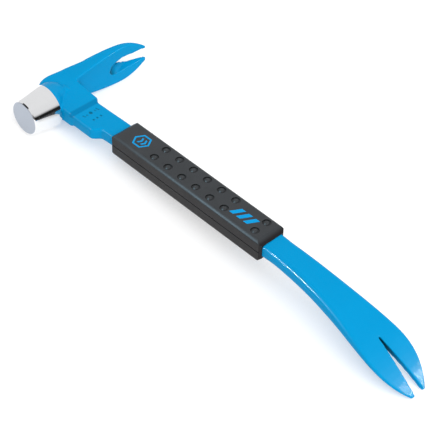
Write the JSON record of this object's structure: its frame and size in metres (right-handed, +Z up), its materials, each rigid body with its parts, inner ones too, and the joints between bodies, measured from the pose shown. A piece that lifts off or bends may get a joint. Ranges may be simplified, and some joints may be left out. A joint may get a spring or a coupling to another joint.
{
  "type": "pry bar",
  "caption": "Short claw bar: a forged steel bar with a round striking poll and slotted head claw, a curved flat claw at the other end, and a moulded studded grip.",
  "frame": {"origin": "on the ground under the middle of the bounding box", "axes": "+X runs down the bar from the head to the flat claw, +Y from the striking face to the head claw, +Z up out of the grip's studded face; the flat claw bends towards -Z"},
  "size_m": [0.254, 0.082, 0.0374],
  "materials": {
    "blue_paint": "gloss",
    "bright_steel": "polished",
    "black_grip": "satin",
    "blue_inlay": "satin"
  },
  "bodies": {
    "root": {"forged_bar": "blue_paint", "striking_cap": "bright_steel", "grip_shell_upper": "black_grip", "grip_shell_lower": "black_grip", "emblem_inlay_upper": "blue_inlay", "emblem_inlay_lower": "blue_inlay", "badge_inlay_upper": "blue_inlay", "badge_inlay_lower": "blue_inlay"}
  },
  "joints": []
}
